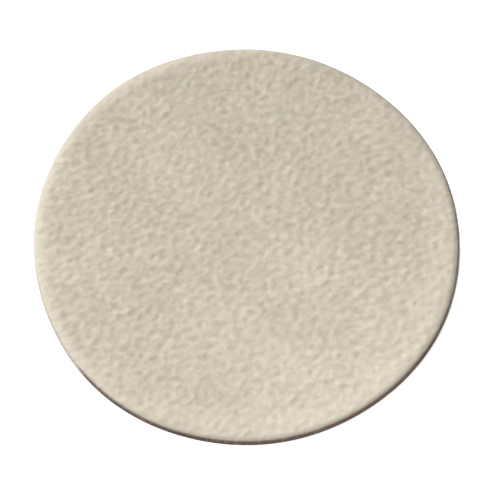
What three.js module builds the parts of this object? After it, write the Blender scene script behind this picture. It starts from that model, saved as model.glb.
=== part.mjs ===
// Self-adhesive felt polishing disc for a flat lapidary lap.
//
// A flat round pad of pressed wool felt, charged with polishing compound on its upper face in use.
// Its back carries a double-coated mounting tape, which a split paper liner protects until the disc
// is stuck to the lap plate. The disc lies on its liner: millimetres, +Z up, with the origin at the
// centre of the liner's lower face.

import * as THREE from "three";

// Driving dimensions.
const DISC_RADIUS = 76.2; // a 6 inch disc, die-cut through all its layers at once
const FELT_THICKNESS = 1.5875; // 1/16 inch pressed wool felt
const LINER_THICKNESS = 0.125; // silicone-coated kraft paper
const ADHESIVE_THICKNESS = 0.0625; // each of the tape's two glue coats
const CARRIER_THICKNESS = 0.0625; // the tape's polyester film
const SLIT_WIDTH = 0.5; // the gap between the two halves of the liner

// The felt's edge: a cut wall that leans in as it rises, then a shoulder rounded over to the face.
const WALL_HEIGHT = 0.75;
const WALL_LEAN = 0.7;

// Facets. The round outline of every layer has its corners at the same angles.
const OUTLINE_FACETS = 96;
const FACETS_PER_SEGMENT = 2; // three.js gives an arc two facets for each curve segment
const SHOULDER_FACETS = 6;

// Heights of the layers, from the liner up.
const LINER_TOP = LINER_THICKNESS;
const PLATE_ADHESIVE_TOP = LINER_TOP + ADHESIVE_THICKNESS;
const CARRIER_TOP = PLATE_ADHESIVE_TOP + CARRIER_THICKNESS;
const FELT_ADHESIVE_TOP = CARRIER_TOP + ADHESIVE_THICKNESS;

const materials = {
  felt: new THREE.MeshStandardMaterial({ color: 0xccc3b2, roughness: 1, metalness: 0 }),
  adhesive: new THREE.MeshStandardMaterial({ color: 0xd9cfa8, roughness: 0.35, metalness: 0 }),
  film: new THREE.MeshStandardMaterial({ color: 0xe4e6e2, roughness: 0.15, metalness: 0 }),
  liner: new THREE.MeshStandardMaterial({ color: 0x9a774f, roughness: 0.7, metalness: 0 }),
};

// The pad of felt: a turned solid whose profile runs from the axis, out along the glued face, up the
// wall, round the shoulder and back to the axis along the polishing face.
function feltGeometry() {
  const wallTop = new THREE.Vector2(DISC_RADIUS - WALL_LEAN, WALL_HEIGHT);
  const shoulderHeight = FELT_THICKNESS - WALL_HEIGHT;
  const profile = [new THREE.Vector2(0, 0), new THREE.Vector2(DISC_RADIUS, 0)];
  for (let i = 0; i <= SHOULDER_FACETS; i++) {
    const angle = (i / SHOULDER_FACETS) * (Math.PI / 2);
    profile.push(
      new THREE.Vector2(
        wallTop.x - shoulderHeight * (1 - Math.cos(angle)),
        wallTop.y + shoulderHeight * Math.sin(angle),
      ),
    );
  }
  profile.push(new THREE.Vector2(0, FELT_THICKNESS));
  return new THREE.LatheGeometry(profile, OUTLINE_FACETS).rotateX(Math.PI / 2);
}

// A full round layer of the tape.
function layerGeometry(thickness) {
  const outline = new THREE.Shape();
  outline.absarc(0, 0, DISC_RADIUS, 0, 2 * Math.PI);
  return new THREE.ExtrudeGeometry(outline, {
    depth: thickness,
    bevelEnabled: false,
    curveSegments: OUTLINE_FACETS / FACETS_PER_SEGMENT,
  });
}

// The right half of the liner: a half disc whose straight edge stands back from the middle by half
// the slit.
function linerHalfGeometry() {
  const setBack = SLIT_WIDTH / 2;
  const halfAngle = Math.acos(setBack / DISC_RADIUS);
  const outline = new THREE.Shape();
  outline.absarc(0, 0, DISC_RADIUS, -halfAngle, halfAngle);
  outline.closePath();
  return new THREE.ExtrudeGeometry(outline, {
    depth: LINER_THICKNESS,
    bevelEnabled: false,
    curveSegments: OUTLINE_FACETS / 2 / FACETS_PER_SEGMENT,
  });
}

function part(name, geometry, material, height = 0) {
  const mesh = new THREE.Mesh(geometry, material);
  mesh.name = name;
  mesh.position.z = height;
  return mesh;
}

// The pad: felt and the three layers of its mounting tape, which stay together for life.
function pad() {
  const group = new THREE.Group();
  group.add(
    part("felt_pad", feltGeometry(), materials.felt, FELT_ADHESIVE_TOP),
    part("felt_side_adhesive", layerGeometry(ADHESIVE_THICKNESS), materials.adhesive, CARRIER_TOP),
    part("carrier_film", layerGeometry(CARRIER_THICKNESS), materials.film, PLATE_ADHESIVE_TOP),
    part("plate_side_adhesive", layerGeometry(ADHESIVE_THICKNESS), materials.adhesive, LINER_TOP),
  );
  return group;
}

// The liner: two equal halves, either side of the slit, that peel off outwards.
function liner() {
  const group = new THREE.Group();
  const right = part("release_liner_right", linerHalfGeometry(), materials.liner);
  const left = part("release_liner_left", linerHalfGeometry(), materials.liner);
  left.rotation.z = Math.PI;
  group.add(right, left);
  return group;
}

const disc = new THREE.Group();
disc.add(pad(), liner());

export default disc;
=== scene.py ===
"""Looks of a self-adhesive felt polishing disc for a flat lapidary lap.

The disc lies on its paper liner, polishing face up. Its felt is one dense mesh with a fine relief, and
real fibres lie on its face and stand out of its cut edge. The tape and the liner follow the felt's
slightly uneven outline.

Lengths are in metres and angles in radians. A heading is an angle seen from above, from +X to +Y.
"""

import math

import bpy
import numpy as np
from mathutils import Matrix, Vector


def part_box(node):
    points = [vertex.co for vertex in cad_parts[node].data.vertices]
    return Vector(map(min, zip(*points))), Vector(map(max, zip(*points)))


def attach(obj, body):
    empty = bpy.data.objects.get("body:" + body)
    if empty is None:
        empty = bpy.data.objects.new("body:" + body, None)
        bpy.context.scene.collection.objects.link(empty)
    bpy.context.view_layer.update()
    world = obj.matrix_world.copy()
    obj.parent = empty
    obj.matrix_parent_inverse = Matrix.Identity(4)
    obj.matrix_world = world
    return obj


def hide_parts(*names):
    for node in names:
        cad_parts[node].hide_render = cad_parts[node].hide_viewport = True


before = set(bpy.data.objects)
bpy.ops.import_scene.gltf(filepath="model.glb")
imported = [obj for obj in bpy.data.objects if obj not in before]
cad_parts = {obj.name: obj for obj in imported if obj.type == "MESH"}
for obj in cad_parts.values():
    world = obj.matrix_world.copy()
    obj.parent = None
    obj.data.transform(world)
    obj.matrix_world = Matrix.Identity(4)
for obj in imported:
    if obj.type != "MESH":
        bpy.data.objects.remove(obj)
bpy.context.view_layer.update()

MM = 0.001
DEGREE = math.pi / 180

# The disc, from the frame.
felt_low, felt_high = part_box("felt_pad")
RIM_RADIUS = felt_high.x
FELT_BOTTOM = felt_low.z
FELT_TOP = felt_high.z

# The felt's edge, from the face down: a slight fall, a rounded shoulder, and a cut wall whose foot
# stands out.
CROWN_DROP = 0.35 * MM
CROWN_WIDTH = 5 * MM
SHOULDER_RADIUS = 0.5 * MM
WALL_HEIGHT = FELT_TOP - FELT_BOTTOM - CROWN_DROP - SHOULDER_RADIUS
WALL_FOOT = 0.57 * MM
WALL_TOP_RADIUS = RIM_RADIUS - WALL_FOOT
FLAT_RADIUS = WALL_TOP_RADIUS - SHOULDER_RADIUS

# The felt's skin laid out flat is a round sheet: the face, and round it the shoulder and the wall. A
# place on it has a reach, from the middle outwards over the skin, and a heading.
SHOULDER_LENGTH = SHOULDER_RADIUS * math.pi / 2
SKIN_RADIUS = FLAT_RADIUS + SHOULDER_LENGTH + WALL_HEIGHT

# The outline is a little out of round: (lobes, how far a lobe stands out, the heading of one).
OUT_OF_ROUND = (
    (3, 0.36 * MM, 3 * DEGREE),
    (4, 0.12 * MM, 53 * DEGREE),
    (7, 0.12 * MM, 26 * DEGREE),
)

# The felt's mesh.
FELT_GRID = 312  # quads along each side
EDGE_RINGS = 14  # rings of quads in the outermost band
EDGE_BAND = 3 * MM

# The felt's relief: lumps, tufts of wool and a slow swell, from squares of random heights that repeat
# at their edges. The heights given are root mean squares.
FIELD_SIZE = 192 * MM
FIELD_CELLS = 1024
NAP_HEADING = 15 * DEGREE  # the way in which the lumps are a little longer
LUMP_SPACING = 5.1 * MM
LUMP_HEIGHT = 0.086 * MM
LUMP_SHARE_ON_EDGE = 0.4
TUFT_SPACING = 1.6 * MM
TUFT_HEIGHT = 0.007 * MM
CUT_TUFT_HEIGHT = 0.035 * MM  # how much taller the tufts are on the cut wall
SWELL_SPACING = 45 * MM
SWELL_HEIGHT = 0.025 * MM

# Each pair here says between which reaches something happens.
FACE_ENDS = (FLAT_RADIUS - 3 * MM, FLAT_RADIUS + 1.5 * MM)
CUT_EDGE_STARTS = (FLAT_RADIUS - 0.7 * SHOULDER_LENGTH, FLAT_RADIUS + 1.3 * SHOULDER_LENGTH)
RELIEF_ENDS = (SKIN_RADIUS - 0.3 * MM, SKIN_RADIUS)

# The cut edge is painted dark brown as shade on its unlit side: sharply from one heading, and dying away
# towards another.
EDGE_SHADE_STARTS = (-139 * DEGREE, -134 * DEGREE)
EDGE_SHADE_ENDS = (-34 * DEGREE, 0)

# The rim is painted grey as shade on its unlit side: most towards one heading, and far less on the wall.
RIM_SHADE_STARTS = (FLAT_RADIUS - 1.9 * MM, FLAT_RADIUS + 0.2 * MM)
RIM_SHADE_ENDS = (FLAT_RADIUS + 0.4 * MM, FLAT_RADIUS + 1.1 * MM)
RIM_SHADE_LOST_ON_WALL = 0.85
RIM_SHADE_HEADING = -32 * DEGREE

# A painted highlight makes one side's shoulder pale, on its lit side, and the face is a little paler
# towards the other side.
RIM_HIGHLIGHT_STARTS = (FLAT_RADIUS - 4.6 * MM, WALL_TOP_RADIUS)
RIM_HIGHLIGHT_HEADING = 165 * DEGREE
PALE_FACE_STARTS = (0.76 * RIM_RADIUS, 0.96 * RIM_RADIUS)
PALE_FACE_HEADING = -50 * DEGREE
PALE_FACE_SHARE = 0.42

# How each of them dies away round the disc: the cosines of the angle off its heading at which there
# is nothing of it and all of it. One with a number over 1 never comes to its full strength.
RIM_SHADE_SIDE = (-0.6, 1.2)
RIM_HIGHLIGHT_SIDE = (0, 0.6)
PALE_FACE_SIDE = (-0.4, 0.4)

# The backing lies a little off the felt, and shows as a thin brown edge on this side. That strip of real
# liner lies along the unlit edge and stands in for part of its shade.
BACKING_SHIFT = 0.22 * MM
BACKING_HEADING = -40 * DEGREE
TAPE_INSET = 0.45 * MM
LINER_INSET = 0.1 * MM
BACKING_STEPS = 720


# ---------------------------------------------------------------- random relief

def smooth_step(low, high, value):
    """0 below low, 1 above high, and a smooth rise between them."""
    t = np.clip((value - low) / (high - low), 0, 1)
    return t * t * (3 - 2 * t)


def band_noise(rng, wavelength, spread, stretch=1.0, heading=0.0):
    """A square of random lumps about one wavelength apart, with an rms height of 1.

    The lumps are longer than they are wide, by stretch squared, along the heading.
    """
    frequency = np.fft.fftfreq(FIELD_CELLS, d=FIELD_SIZE / FIELD_CELLS)
    fx, fy = np.meshgrid(frequency, frequency)
    along = (fx * math.cos(heading) + fy * math.sin(heading)) * stretch
    across = (fy * math.cos(heading) - fx * math.sin(heading)) / stretch
    radial = np.hypot(along, across)
    radial[0, 0] = 1 / FIELD_SIZE
    band = np.exp(-0.5 * (np.log(radial * wavelength) / spread) ** 2)
    band[0, 0] = 0
    white = rng.standard_normal((FIELD_CELLS, FIELD_CELLS))
    field = np.fft.ifft2(np.fft.fft2(white) * band).real
    return field / field.std()


def sample(field, x, y):
    """The field's value at points in metres, blended between its cells."""
    column = np.asarray(x) / FIELD_SIZE * FIELD_CELLS
    row = np.asarray(y) / FIELD_SIZE * FIELD_CELLS
    c0, r0 = np.floor(column).astype(int), np.floor(row).astype(int)
    part_c, part_r = column - c0, row - r0
    c0, r0 = c0 % FIELD_CELLS, r0 % FIELD_CELLS
    c1, r1 = (c0 + 1) % FIELD_CELLS, (r0 + 1) % FIELD_CELLS
    near = field[r0, c0] * (1 - part_c) + field[r0, c1] * part_c
    far = field[r1, c0] * (1 - part_c) + field[r1, c1] * part_c
    return near * (1 - part_r) + far * part_r


relief_rng = np.random.default_rng(11)
LUMPS = band_noise(relief_rng, LUMP_SPACING, spread=0.47, stretch=1.08, heading=NAP_HEADING)
TUFTS = band_noise(relief_rng, TUFT_SPACING, spread=0.30)
SWELL = band_noise(relief_rng, SWELL_SPACING, spread=0.30)


# ---------------------------------------------------------------- the felt's skin

def out_of_round(angle):
    """How far the outline stands out of a true circle."""
    return sum(height * np.cos(lobes * (angle - peak)) for lobes, height, peak in OUT_OF_ROUND)


def edge_share(reach):
    """0 on the face, rising over the shoulder to 1 on the cut wall."""
    return smooth_step(*CUT_EDGE_STARTS, reach)


def relief(x, y, reach):
    """The height of the felt's relief at places on the skin laid out flat."""
    on_face = 1 - smooth_step(*FACE_ENDS, reach)
    lump_share = LUMP_SHARE_ON_EDGE + (1 - LUMP_SHARE_ON_EDGE) * on_face
    rise = LUMP_HEIGHT * lump_share * sample(LUMPS, x, y)
    rise += (TUFT_HEIGHT + CUT_TUFT_HEIGHT * edge_share(reach)) * sample(TUFTS, x, y)
    rise += SWELL_HEIGHT * on_face * sample(SWELL, x, y)
    return rise * (1 - smooth_step(*RELIEF_ENDS, reach))


def felt_skin(x, y):
    """Points, outward normals and relief heights for places on the skin laid out flat."""
    reach = np.hypot(x, y)
    angle = np.arctan2(y, x)
    turn = np.clip((reach - FLAT_RADIUS) / SHOULDER_RADIUS, 0, math.pi / 2)
    down = np.clip((reach - FLAT_RADIUS - SHOULDER_LENGTH) / WALL_HEIGHT, 0, 1)
    fall = np.clip((reach - FLAT_RADIUS + CROWN_WIDTH) / CROWN_WIDTH, 0, 1)
    radius = np.minimum(reach, FLAT_RADIUS) + SHOULDER_RADIUS * np.sin(turn) + WALL_FOOT * down
    height = FELT_BOTTOM + WALL_HEIGHT * (1 - down)
    height += SHOULDER_RADIUS * np.cos(turn) + CROWN_DROP * (1 - fall**2)

    # The normal leans up as the wall does, which comes in over the wall's top third.
    out = np.sin(turn)
    up = np.cos(turn) + WALL_FOOT / WALL_HEIGHT * np.minimum(3 * down, 1)
    length = np.hypot(out, up)
    out, up = out / length, up / length

    rise = relief(x, y, reach)
    radius = radius * (1 + out_of_round(angle) / RIM_RADIUS) + rise * out
    points = [radius * np.cos(angle), radius * np.sin(angle), height + rise * up]
    normals = [out * np.cos(angle), out * np.sin(angle), up]
    return np.stack(points, axis=-1), np.stack(normals, axis=-1), rise


def side_share(angle, heading, side):
    """Most towards the heading, dying away round the disc between the cosines in side."""
    return smooth_step(*side, np.cos(angle - heading))


def painted_edge_shade_share(reach, angle):
    """How far the cut edge is painted dark brown as shade."""
    painted_edge_shade = edge_share(reach) * smooth_step(*EDGE_SHADE_STARTS, angle)
    return painted_edge_shade * (1 - smooth_step(*EDGE_SHADE_ENDS, angle))


def painted_rim_shade_share(reach, angle):
    """How far the rim is painted grey as shade."""
    painted_rim_shade = smooth_step(*RIM_SHADE_STARTS, reach)
    painted_rim_shade *= 1 - RIM_SHADE_LOST_ON_WALL * smooth_step(*RIM_SHADE_ENDS, reach)
    return painted_rim_shade * side_share(angle, RIM_SHADE_HEADING, RIM_SHADE_SIDE)


def highlight_and_pale_side_share(reach, angle):
    """How far the shoulder is painted pale as a highlight, and the face is paler on one side."""
    highlight_and_pale_side = smooth_step(*RIM_HIGHLIGHT_STARTS, reach) * side_share(angle, RIM_HIGHLIGHT_HEADING, RIM_HIGHLIGHT_SIDE)
    # The face is paler towards one heading.
    pale_face = smooth_step(*PALE_FACE_STARTS, reach) * side_share(angle, PALE_FACE_HEADING, PALE_FACE_SIDE)
    return highlight_and_pale_side + PALE_FACE_SHARE * pale_face


def round_grid(cells):
    """A square grid of points pressed into a round sheet, its rings closer together at the edge."""
    line = np.linspace(-1, 1, cells + 1)
    a, b = np.meshgrid(line, line)
    wide = np.abs(a) >= np.abs(b)
    reach = np.where(wide, a, b)
    across = np.where(wide, b, a) / np.where(reach == 0, 1, reach) * math.pi / 4
    angle = np.where(wide, across, math.pi / 2 - across)
    rings = [0, 1 - 2 * EDGE_RINGS / cells, 1]
    reach = np.sign(reach) * np.interp(np.abs(reach), rings, [0, SKIN_RADIUS - EDGE_BAND, SKIN_RADIUS])
    return reach * np.cos(angle), reach * np.sin(angle)


# ---------------------------------------------------------------- meshes

def mesh_piece(name, points, faces, material, smooth=True):
    """A new object of these points and faces, in the scene."""
    mesh = bpy.data.meshes.new(name)
    mesh.from_pydata(np.asarray(points).tolist(), [], faces)
    mesh.polygons.foreach_set("use_smooth", [smooth] * len(mesh.polygons))
    mesh.materials.append(material)
    piece = bpy.data.objects.new(name, mesh)
    bpy.context.scene.collection.objects.link(piece)
    return piece


def add_attribute(piece, name, values):
    """Gives each vertex a number that the piece's material reads."""
    numbers = piece.data.attributes.new(name, "FLOAT", "POINT")
    numbers.data.foreach_set("value", np.ravel(values).astype(np.float32))


def make_felt(material):
    """The felt: its skin, closed below by one flat face round the grid's border."""
    x, y = round_grid(FELT_GRID)
    points, _, rise = felt_skin(x, y)
    row = FELT_GRID + 1
    corner = (np.arange(FELT_GRID)[:, None] * row + np.arange(FELT_GRID)).ravel()
    quads = np.stack([corner, corner + 1, corner + row + 1, corner + row], axis=-1).tolist()
    last = FELT_GRID * row
    border = [
        *range(0, FELT_GRID),
        *range(FELT_GRID, last + FELT_GRID, row),
        *range(last + FELT_GRID, last, -1),
        *range(last, 0, -row),
    ]
    piece = mesh_piece("felt", points.reshape(-1, 3), [*quads, border[::-1]], material)
    piece.data.polygons[len(quads)].use_smooth = False
    reach, angle = np.hypot(x, y), np.arctan2(y, x)
    add_attribute(piece, "rise", rise / LUMP_HEIGHT)
    # Painted shade on the cut edge.
    add_attribute(piece, "painted_edge_shade", painted_edge_shade_share(reach, angle))
    # Painted shade on the rim.
    add_attribute(piece, "painted_rim_shade", painted_rim_shade_share(reach, angle))
    # Painted highlight on the shoulder, with the face's paler side.
    add_attribute(piece, "highlight_and_pale_side", highlight_and_pale_side_share(reach, angle))
    return piece


# ---------------------------------------------------------------- fibres

# A fibre's width along it, as a share of its width halfway: a least width with a half wave on it.
FIBRE_SIDES = 3
LEAST_WIDTH = 0.35
WAVE_CUT = 0.12  # how much of the half wave is left out at each end
ASIDE = (0.31, 0.17, 0.93)  # a direction that no fibre runs along exactly

FACE_FIBRES = 6200
FACE_FIBRE_STEPS = 5
FACE_FIBRE_MARGIN = 2.2 * MM  # how far inside the skin's border they start
FACE_FIBRE_SINK = 0.015 * MM  # how far their ends lie in the felt

EDGE_FIBRES = 6500
EDGE_FIBRE_STEPS = 3
EDGE_FIBRE_START = FLAT_RADIUS + 0.35 * SHOULDER_LENGTH
EDGE_FIBRE_END = SKIN_RADIUS - 0.1 * MM
EDGE_FIBRE_SINK = 0.05 * MM
EDGE_FIBRE_LIFT = 0.02 * MM  # how far above the tape their middle lines stay


def make_fibres(name, paths, radii, tones, material):
    """One closed tube along each path, all in one piece.

    paths is an array of (fibre, point, xyz); radii holds each fibre's radius, and tones the number
    from 0 to 1 that its material colours it by.
    """
    count, steps, _ = paths.shape
    along = np.gradient(paths, axis=1)
    side = np.cross(along, np.array(ASIDE))
    side /= np.linalg.norm(side, axis=-1, keepdims=True)
    other = np.cross(along, side)
    other /= np.linalg.norm(other, axis=-1, keepdims=True)
    wave = np.sin(np.linspace(WAVE_CUT, math.pi - WAVE_CUT, steps))
    width = (radii[:, None] * (LEAST_WIDTH + (1 - LEAST_WIDTH) * wave))[..., None]
    turns = 2 * math.pi * np.arange(FIBRE_SIDES) / FIBRE_SIDES
    rings = [paths + width * (math.cos(turn) * side + math.sin(turn) * other) for turn in turns]
    points = np.stack(rings, axis=2).reshape(-1, 3)

    first = np.arange(count)[:, None, None] * steps * FIBRE_SIDES
    ring = first + np.arange(steps - 1)[None, :, None] * FIBRE_SIDES
    corner = np.arange(FIBRE_SIDES)
    after = (corner + 1) % FIBRE_SIDES
    walls = [ring + corner, ring + after, ring + FIBRE_SIDES + after, ring + FIBRE_SIDES + corner]
    walls = np.stack(walls, axis=-1).reshape(-1, 4)
    start = first.reshape(-1, 1)
    end = start + (steps - 1) * FIBRE_SIDES
    faces = [*walls.tolist(), *(start + corner[::-1]).tolist(), *(end + corner).tolist()]
    piece = mesh_piece(name, points, faces, material)
    add_attribute(piece, "tone", np.repeat(tones, steps * FIBRE_SIDES))
    return piece


def make_face_fibres(material):
    """Loose strands of wool that lie on the face, with their ends in it."""
    rng = np.random.default_rng(23)
    count, steps = FACE_FIBRES, FACE_FIBRE_STEPS
    reach = (SKIN_RADIUS - FACE_FIBRE_MARGIN) * np.sqrt(rng.random(count))
    around = 2 * math.pi * rng.random(count)
    length = rng.uniform(1.6, 4.5, count) * MM
    heading = 2 * math.pi * rng.random(count)
    bend = rng.normal(0, 0.55, count) * length / MM
    wave = rng.normal(0, 0.5, count)
    arch = (rng.uniform(0.015, 0.045, count) + rng.exponential(0.015, count)) * MM
    share = np.linspace(0, 1, steps + 1)
    turn = heading[:, None] + bend[:, None] * (share - 0.5)
    turn += wave[:, None] * np.sin(2 * math.pi * share)
    step = (length / steps)[:, None]
    x = (reach * np.cos(around))[:, None] + np.cumsum(step * np.cos(turn), axis=1)
    y = (reach * np.sin(around))[:, None] + np.cumsum(step * np.sin(turn), axis=1)
    on_skin, normals, _ = felt_skin(x, y)
    lift = arch[:, None] * np.sin(math.pi * share) - FACE_FIBRE_SINK
    paths = on_skin + normals * lift[..., None]
    radii = rng.uniform(0.014, 0.026, count) * MM
    return make_fibres("felt_face_fibres", paths, radii, rng.random(count), material)


def make_edge_fibres(material):
    """Short cut ends of wool that stand out of the shoulder and the wall, rather more low down."""
    rng = np.random.default_rng(37)
    count = EDGE_FIBRES
    around = 2 * math.pi * rng.random(count)
    reach = EDGE_FIBRE_START + (EDGE_FIBRE_END - EDGE_FIBRE_START) * rng.random(count) ** 0.8
    roots, normals, _ = felt_skin(reach * np.cos(around), reach * np.sin(around))
    length = (rng.uniform(0.15, 0.5, count) * MM)[:, None, None]
    heading = normals + rng.normal(0, 0.5, (count, 3))
    heading /= np.linalg.norm(heading, axis=-1, keepdims=True)
    curl = rng.normal(0, 0.25, (count, 3))
    share = np.linspace(0, 1, EDGE_FIBRE_STEPS + 1)[None, :, None]
    roots -= EDGE_FIBRE_SINK * normals
    paths = roots[:, None] + length * (share * heading[:, None] + share**2 * curl[:, None])
    paths[..., 2] = np.maximum(paths[..., 2], FELT_BOTTOM + EDGE_FIBRE_LIFT)
    radii = rng.uniform(0.011, 0.02, count) * MM
    return make_fibres("felt_edge_fibres", paths, radii, rng.random(count), material)


# ---------------------------------------------------------------- backing

def backing_outline(angle, inset):
    """Points of the backing's outline: the felt's, made smaller by the inset and shifted."""
    radius = RIM_RADIUS + out_of_round(angle) - inset
    x = radius * np.cos(angle) + BACKING_SHIFT * math.cos(BACKING_HEADING)
    y = radius * np.sin(angle) + BACKING_SHIFT * math.sin(BACKING_HEADING)
    return np.stack([x, y], axis=-1)


def make_layer(name, node, outline, body, material):
    """A flat layer of that outline that stands for a CAD node, at its height and thickness."""
    low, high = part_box(node)
    count = len(outline)
    points = [(x, y, z) for z in (low.z, high.z) for x, y in outline]
    sides = [(i, (i + 1) % count, (i + 1) % count + count, i + count) for i in range(count)]
    under, over = list(range(count))[::-1], list(range(count, 2 * count))
    piece = mesh_piece(name, points, [*sides, under, over], material, smooth=False)
    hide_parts(node)
    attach(piece, body)


def make_tape():
    """The double-coated tape: a film between two coats of glue."""
    outline = backing_outline(2 * math.pi * np.arange(BACKING_STEPS) / BACKING_STEPS, TAPE_INSET)
    glue = adhesive_material()
    make_layer("tape_felt_side_glue", "felt_side_adhesive", outline, "pad", glue)
    make_layer("tape_film", "carrier_film", outline, "pad", film_material())
    make_layer("tape_plate_side_glue", "plate_side_adhesive", outline, "pad", glue)


def make_liner():
    """The two halves of the liner, each an arc closed by its straight edge along the slit."""
    half_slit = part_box("release_liner_right")[0].x
    reach = math.acos(half_slit / RIM_RADIUS)
    arc = np.linspace(-reach, reach, BACKING_STEPS // 2)
    paper = liner_material()
    for side, middle in (("right", 0), ("left", math.pi)):
        outline = backing_outline(middle + arc, LINER_INSET)
        make_layer(f"liner_{side}", f"release_liner_{side}", outline, f"{side}_liner", paper)


# ---------------------------------------------------------------- shader nodes

def new_material(name, **values):
    """A material whose Principled shader has these values on its own sockets."""
    material = bpy.data.materials.new(name)
    material.use_nodes = True
    shader = material.node_tree.nodes["Principled BSDF"]
    for socket, value in values.items():
        shader.inputs[socket.replace("_", " ")].default_value = value
    return material, material.node_tree, shader


def feed(tree, socket, value):
    """Gives an input its value, or the socket that it takes its value from."""
    if isinstance(value, bpy.types.NodeSocket):
        tree.links.new(value, socket)
    else:
        socket.default_value = value


def add_node(tree, kind, inputs=None, **settings):
    """A node with these settings, and its inputs fed."""
    node = tree.nodes.new(kind)
    for name, value in settings.items():
        setattr(node, name, value)
    for name, value in (inputs or {}).items():
        feed(tree, node.inputs[name], value)
    return node


def math_node(tree, operation, *values, clamp=False):
    inputs = dict(enumerate(values))
    node = add_node(tree, "ShaderNodeMath", inputs, operation=operation, use_clamp=clamp)
    return node.outputs["Value"]


def vector_node(tree, operation, inputs):
    return add_node(tree, "ShaderNodeVectorMath", inputs, operation=operation).outputs["Vector"]


def vary(tree, value, texture, strength, clamp=False):
    """The value, raised and lowered by a texture whose middle is 0.5."""
    centred = math_node(tree, "SUBTRACT", texture, 0.5)
    return math_node(tree, "MULTIPLY_ADD", centred, strength, value, clamp=clamp)


def object_coordinates(tree):
    return add_node(tree, "ShaderNodeTexCoord").outputs["Object"]


def attribute(tree, name):
    return add_node(tree, "ShaderNodeAttribute", attribute_name=name).outputs["Fac"]


def noise(tree, vector, size, detail=2.0, roughness=0.5, output="Fac"):
    """Noise with features of about that size, from 0 to 1."""
    inputs = {"Vector": vector, "Scale": 1 / size, "Detail": detail, "Roughness": roughness}
    return add_node(tree, "ShaderNodeTexNoise", inputs).outputs[output]


def mix_colours(tree, share, first, second):
    """The first colour, with that share of the second."""
    node = add_node(tree, "ShaderNodeMix", data_type="RGBA")
    sockets = {socket.name: socket for socket in node.inputs if socket.enabled}
    feed(tree, sockets["Factor"], share)
    feed(tree, sockets["A"], first)
    feed(tree, sockets["B"], second)
    return next(socket for socket in node.outputs if socket.enabled)


def add_bump(tree, shader, height, strength, distance):
    inputs = {"Height": height, "Strength": strength, "Distance": distance}
    bump = add_node(tree, "ShaderNodeBump", inputs)
    tree.links.new(bump.outputs["Normal"], shader.inputs["Normal"])


# ---------------------------------------------------------------- materials

WOOL_WARM = (0.664, 0.586, 0.478, 1)
WOOL_COOL = (0.646, 0.590, 0.478, 1)
WOOL_TAN = (0.505, 0.452, 0.361, 1)
# Pale wool for the painted highlight on the lit shoulder, and for the face's paler side.
HIGHLIGHT_AND_PALE_SIDE_WOOL = (0.74, 0.67, 0.56, 1)
WOOL_PALE_FIBRE = (0.74, 0.665, 0.545, 1)
WOOL_WHITE_FIBRE = (0.90, 0.84, 0.72, 1)
# Painted shade: the grey that darkens the rim on its unlit side.
RIM_SHADE_GREY = (0.13, 0.137, 0.105, 1)
# Painted shade: the dark brown that darkens the cut edge on its unlit side.
EDGE_SHADE_BROWN = (0.19, 0.110, 0.080, 1)
AMBER_DARK = (0.42, 0.31, 0.14, 1)
AMBER_PALE = (0.56, 0.44, 0.22, 1)
FILM_DARK = (0.62, 0.64, 0.6, 1)
FILM_PALE = (0.72, 0.73, 0.69, 1)
KRAFT_DARK = (0.20, 0.105, 0.047, 1)
KRAFT_PALE = (0.36, 0.21, 0.105, 1)

DULL_PAPER = 0.85
SATIN_PAPER = 0.5

# The felt's tones: fine heather, broad mottling, and patches that are warmer or cooler.
HEATHER_SIZE = 0.8 * MM
MOTTLE_SIZE = 8 * MM
HUE_SIZE = 6 * MM

# Its painted highlight with the face's paler side, its painted rim shade and its painted edge shade, laid
# on in this order: (attribute, how strongly it tints, colour).
TINT_ZONES = (
    ("highlight_and_pale_side", 0.75, HIGHLIGHT_AND_PALE_SIDE_WOOL),
    ("painted_rim_shade", 0.56, RIM_SHADE_GREY),
    ("painted_edge_shade", 0.9, EDGE_SHADE_BROWN),
)

# Its matted strands: how long, wide and deep one is, and how far and how often it bends. They are
# longest along X before they bend. Each layer of them is noise turned by a different angle.
STRAND_SIZE = (2.4 * MM, 0.2 * MM, 0.3 * MM)
STRAND_BEND = 1.6 * MM
BEND_SPACING = 2.5 * MM
STRAND_LAYERS = (15 * DEGREE, 75 * DEGREE, 135 * DEGREE)
STRAND_RELIEF = 0.1 * MM


def wool_colour(tree, where):
    """Heathered and mottled wool, paler where the relief stands up and darker in its hollows, partly dirt
    and partly painted shade, with the painted light and shade zones and the paler side laid on it.
    """
    heather = noise(tree, where, HEATHER_SIZE, detail=3)
    mottle = noise(tree, where, MOTTLE_SIZE)
    # Painted shade in the hollows, partly dirt: the wool darkens where the relief sinks and pales where
    # it stands up.
    tone = math_node(tree, "MULTIPLY_ADD", attribute(tree, "rise"), 0.2, 0.5)
    tone = vary(tree, tone, heather, strength=0.8)
    tone = vary(tree, tone, mottle, strength=1.05, clamp=True)
    hue = vary(tree, 0.5, noise(tree, where, HUE_SIZE), strength=2.5, clamp=True)
    wool = mix_colours(tree, tone, WOOL_TAN, mix_colours(tree, hue, WOOL_COOL, WOOL_WARM))
    for zone, strength, colour in TINT_ZONES:
        share = math_node(tree, "MULTIPLY", attribute(tree, zone), strength)
        wool = mix_colours(tree, share, wool, colour)
    return wool


def matted_strands(tree, where):
    """Fine curved strands of relief, in layers of which the highest shows."""
    bend = noise(tree, where, BEND_SPACING, output="Color")
    bend = vector_node(tree, "SCALE", {0: bend, "Scale": STRAND_BEND})
    bent = vector_node(tree, "ADD", {0: where, 1: bend})
    stretch = tuple(1 / size for size in STRAND_SIZE)
    matted = 0.0
    for turn in STRAND_LAYERS:
        inputs = {"Vector": bent, "Rotation": (0, 0, turn), "Scale": stretch}
        laid = add_node(tree, "ShaderNodeMapping", inputs).outputs["Vector"]
        matted = math_node(tree, "MAXIMUM", matted, noise(tree, laid, 1))
    return matted


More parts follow.
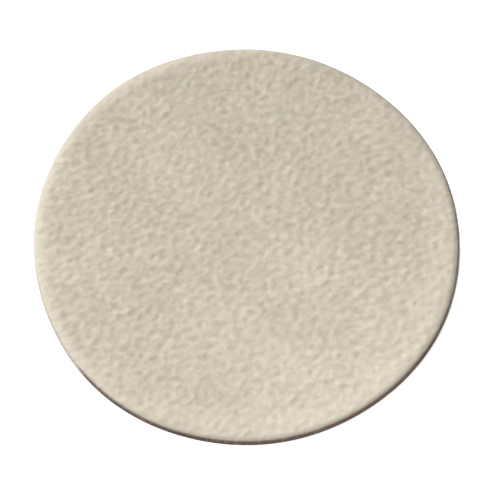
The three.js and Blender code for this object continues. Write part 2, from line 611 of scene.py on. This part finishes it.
def felt_material():
    material, tree, shader = new_material(
        "wool_felt", Roughness=0.95, Specular_IOR_Level=0.15, Sheen_Weight=0.12, Sheen_Roughness=0.6
    )
    where = object_coordinates(tree)
    tree.links.new(wool_colour(tree, where), shader.inputs["Base Color"])
    add_bump(tree, shader, matted_strands(tree, where), strength=1.0, distance=STRAND_RELIEF)
    return material


def fibre_material():
    material, tree, shader = new_material("wool_fibre", Roughness=0.8, Specular_IOR_Level=0.2)
    colour = mix_colours(tree, attribute(tree, "tone"), WOOL_PALE_FIBRE, WOOL_WHITE_FIBRE)
    tree.links.new(colour, shader.inputs["Base Color"])
    return material


def adhesive_material():
    material, tree, shader = new_material("amber_adhesive", Roughness=0.25)
    cloud = noise(tree, object_coordinates(tree), 4 * MM, detail=3)
    tree.links.new(mix_colours(tree, cloud, AMBER_DARK, AMBER_PALE), shader.inputs["Base Color"])
    return material


def film_material():
    material, tree, shader = new_material("polyester_film", Roughness=0.12)
    cloud = noise(tree, object_coordinates(tree), 12 * MM)
    tree.links.new(mix_colours(tree, cloud, FILM_DARK, FILM_PALE), shader.inputs["Base Color"])
    return material


def liner_material():
    """Brown kraft paper: satin where it is coated, above, and dull elsewhere."""
    material, tree, shader = new_material("kraft_paper", Specular_IOR_Level=0.4)
    where = object_coordinates(tree)
    pulp = noise(tree, where, 0.9 * MM, detail=5, roughness=0.65)
    cloud = noise(tree, where, 14 * MM, detail=3)
    tone = vary(tree, cloud, pulp, strength=1.3, clamp=True)
    tree.links.new(mix_colours(tree, tone, KRAFT_DARK, KRAFT_PALE), shader.inputs["Base Color"])
    facing = add_node(tree, "ShaderNodeNewGeometry").outputs["Normal"]
    upward = add_node(tree, "ShaderNodeSeparateXYZ", {0: facing}).outputs["Z"]
    coated = math_node(tree, "GREATER_THAN", upward, 0.5)
    roughness = math_node(tree, "MULTIPLY_ADD", coated, SATIN_PAPER - DULL_PAPER, DULL_PAPER)
    tree.links.new(roughness, shader.inputs["Roughness"])
    add_bump(tree, shader, pulp, strength=0.5, distance=0.03 * MM)
    return material


# ---------------------------------------------------------------- studio

FLOOR_SIZE = 30
FLOOR_GAP = 0.02 * MM  # so that the floor isn't in one plane with the liner's lower face
WORLD_LIGHT = 0.15  # how strongly the white surroundings light the disc

# The view is down on the disc from the front, a little turned.
CAMERA_ELEVATION = 68.3 * DEGREE
CAMERA_ROLL = 2.6 * DEGREE
CAMERA_LENS = 135  # millimetres, on the usual 36 mm sensor
VIEW_WIDTH = 2.344 * RIM_RADIUS  # how much of the scene's width the picture takes in at the disc
AIM_RIGHT = 0.017 * RIM_RADIUS
AIM_UP = -0.056 * RIM_RADIUS


def make_floor():
    """A white table that glows a little, so that the disc casts no shadow that shows."""
    bpy.ops.mesh.primitive_plane_add(size=FLOOR_SIZE)
    floor = bpy.context.object
    floor.name = "studio_floor"
    floor.location.z = -FLOOR_GAP
    material, _, _ = new_material(
        "studio_table",
        Base_Color=(0.9, 0.9, 0.9, 1),
        Roughness=0.9,
        Specular_IOR_Level=0.0,
        Emission_Color=(1, 1, 1, 1),
        Emission_Strength=0.45,
    )
    floor.data.materials.append(material)
    floor.visible_diffuse = False


def towards(elevation, heading):
    """The way to something at that elevation and heading."""
    level = math.cos(elevation)
    return Vector((level * math.cos(heading), level * math.sin(heading), math.sin(elevation)))


def make_camera():
    data = bpy.data.cameras.new("camera")
    data.lens = CAMERA_LENS
    camera = bpy.data.objects.new("camera", data)
    bpy.context.scene.collection.objects.link(camera)
    back = towards(CAMERA_ELEVATION, -math.pi / 2)
    upright = (-back).to_track_quat("-Z", "Y").to_matrix().to_4x4()
    turned = upright @ Matrix.Rotation(CAMERA_ROLL, 4, "Z")
    right, up = turned.col[0].to_3d(), turned.col[1].to_3d()
    aim = Vector((0, 0, FELT_TOP / 2)) + right * AIM_RIGHT + up * AIM_UP
    distance = VIEW_WIDTH * CAMERA_LENS / data.sensor_width
    camera.matrix_world = Matrix.Translation(aim + back * distance) @ turned
    bpy.context.scene.camera = camera


def make_sun(name, elevation, heading, softness, strength):
    """A light from far away; softness is how wide it looks."""
    data = bpy.data.lights.new(name, "SUN")
    data.energy = strength
    data.angle = softness
    light = bpy.data.objects.new(name, data)
    light.rotation_euler = towards(elevation, heading).to_track_quat("Z", "Y").to_euler()
    bpy.context.scene.collection.objects.link(light)


def make_softbox(name, size, distance, heading, height, power):
    """A round soft lamp beside the disc, aimed at its middle, that the camera doesn't see."""
    data = bpy.data.lights.new(name, "AREA")
    data.shape = "DISK"
    data.size = size
    data.energy = power
    light = bpy.data.objects.new(name, data)
    light.location = towards(0, heading) * distance + Vector((0, 0, height))
    light.rotation_euler = light.location.to_track_quat("Z", "Y").to_euler()
    light.visible_camera = False
    bpy.context.scene.collection.objects.link(light)


def make_lights():
    """A key light from the back left, a faint one overhead, and two lamps close by.

    The lamps are at the front right and at the left, and light the side that is nearest them most.
    """
    make_sun(
        "key_light", elevation=43 * DEGREE, heading=139 * DEGREE, softness=12 * DEGREE, strength=2.95
    )
    make_sun(
        "overhead_light", elevation=84 * DEGREE, heading=-45 * DEGREE, softness=50 * DEGREE, strength=0.45
    )
    near, far = 1.5 * RIM_RADIUS, 2 * RIM_RADIUS
    make_softbox(
        "front_lamp", size=0.08, distance=near, heading=-60 * DEGREE, height=0.085, power=0.034
    )
    make_softbox(
        "side_lamp", size=0.12, distance=far, heading=183 * DEGREE, height=0.035, power=0.036
    )


def make_world():
    """A white studio: the camera sees it white, and it lights the object only faintly."""
    world = bpy.data.worlds.new("studio")
    bpy.context.scene.world = world
    world.use_nodes = True
    tree = world.node_tree
    background = tree.nodes["Background"]
    seen = add_node(tree, "ShaderNodeLightPath").outputs["Is Camera Ray"]
    strength = math_node(tree, "MULTIPLY_ADD", seen, 1 - WORLD_LIGHT, WORLD_LIGHT)
    background.inputs["Color"].default_value = (1, 1, 1, 1)
    tree.links.new(strength, background.inputs["Strength"])


make_camera()
make_lights()
make_world()
make_floor()
bpy.context.scene.view_settings.view_transform = "Standard"

felt = make_felt(felt_material())
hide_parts("felt_pad")
wool = fibre_material()
for felt_piece in (felt, make_face_fibres(wool), make_edge_fibres(wool)):
    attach(felt_piece, "pad")
make_tape()
make_liner()
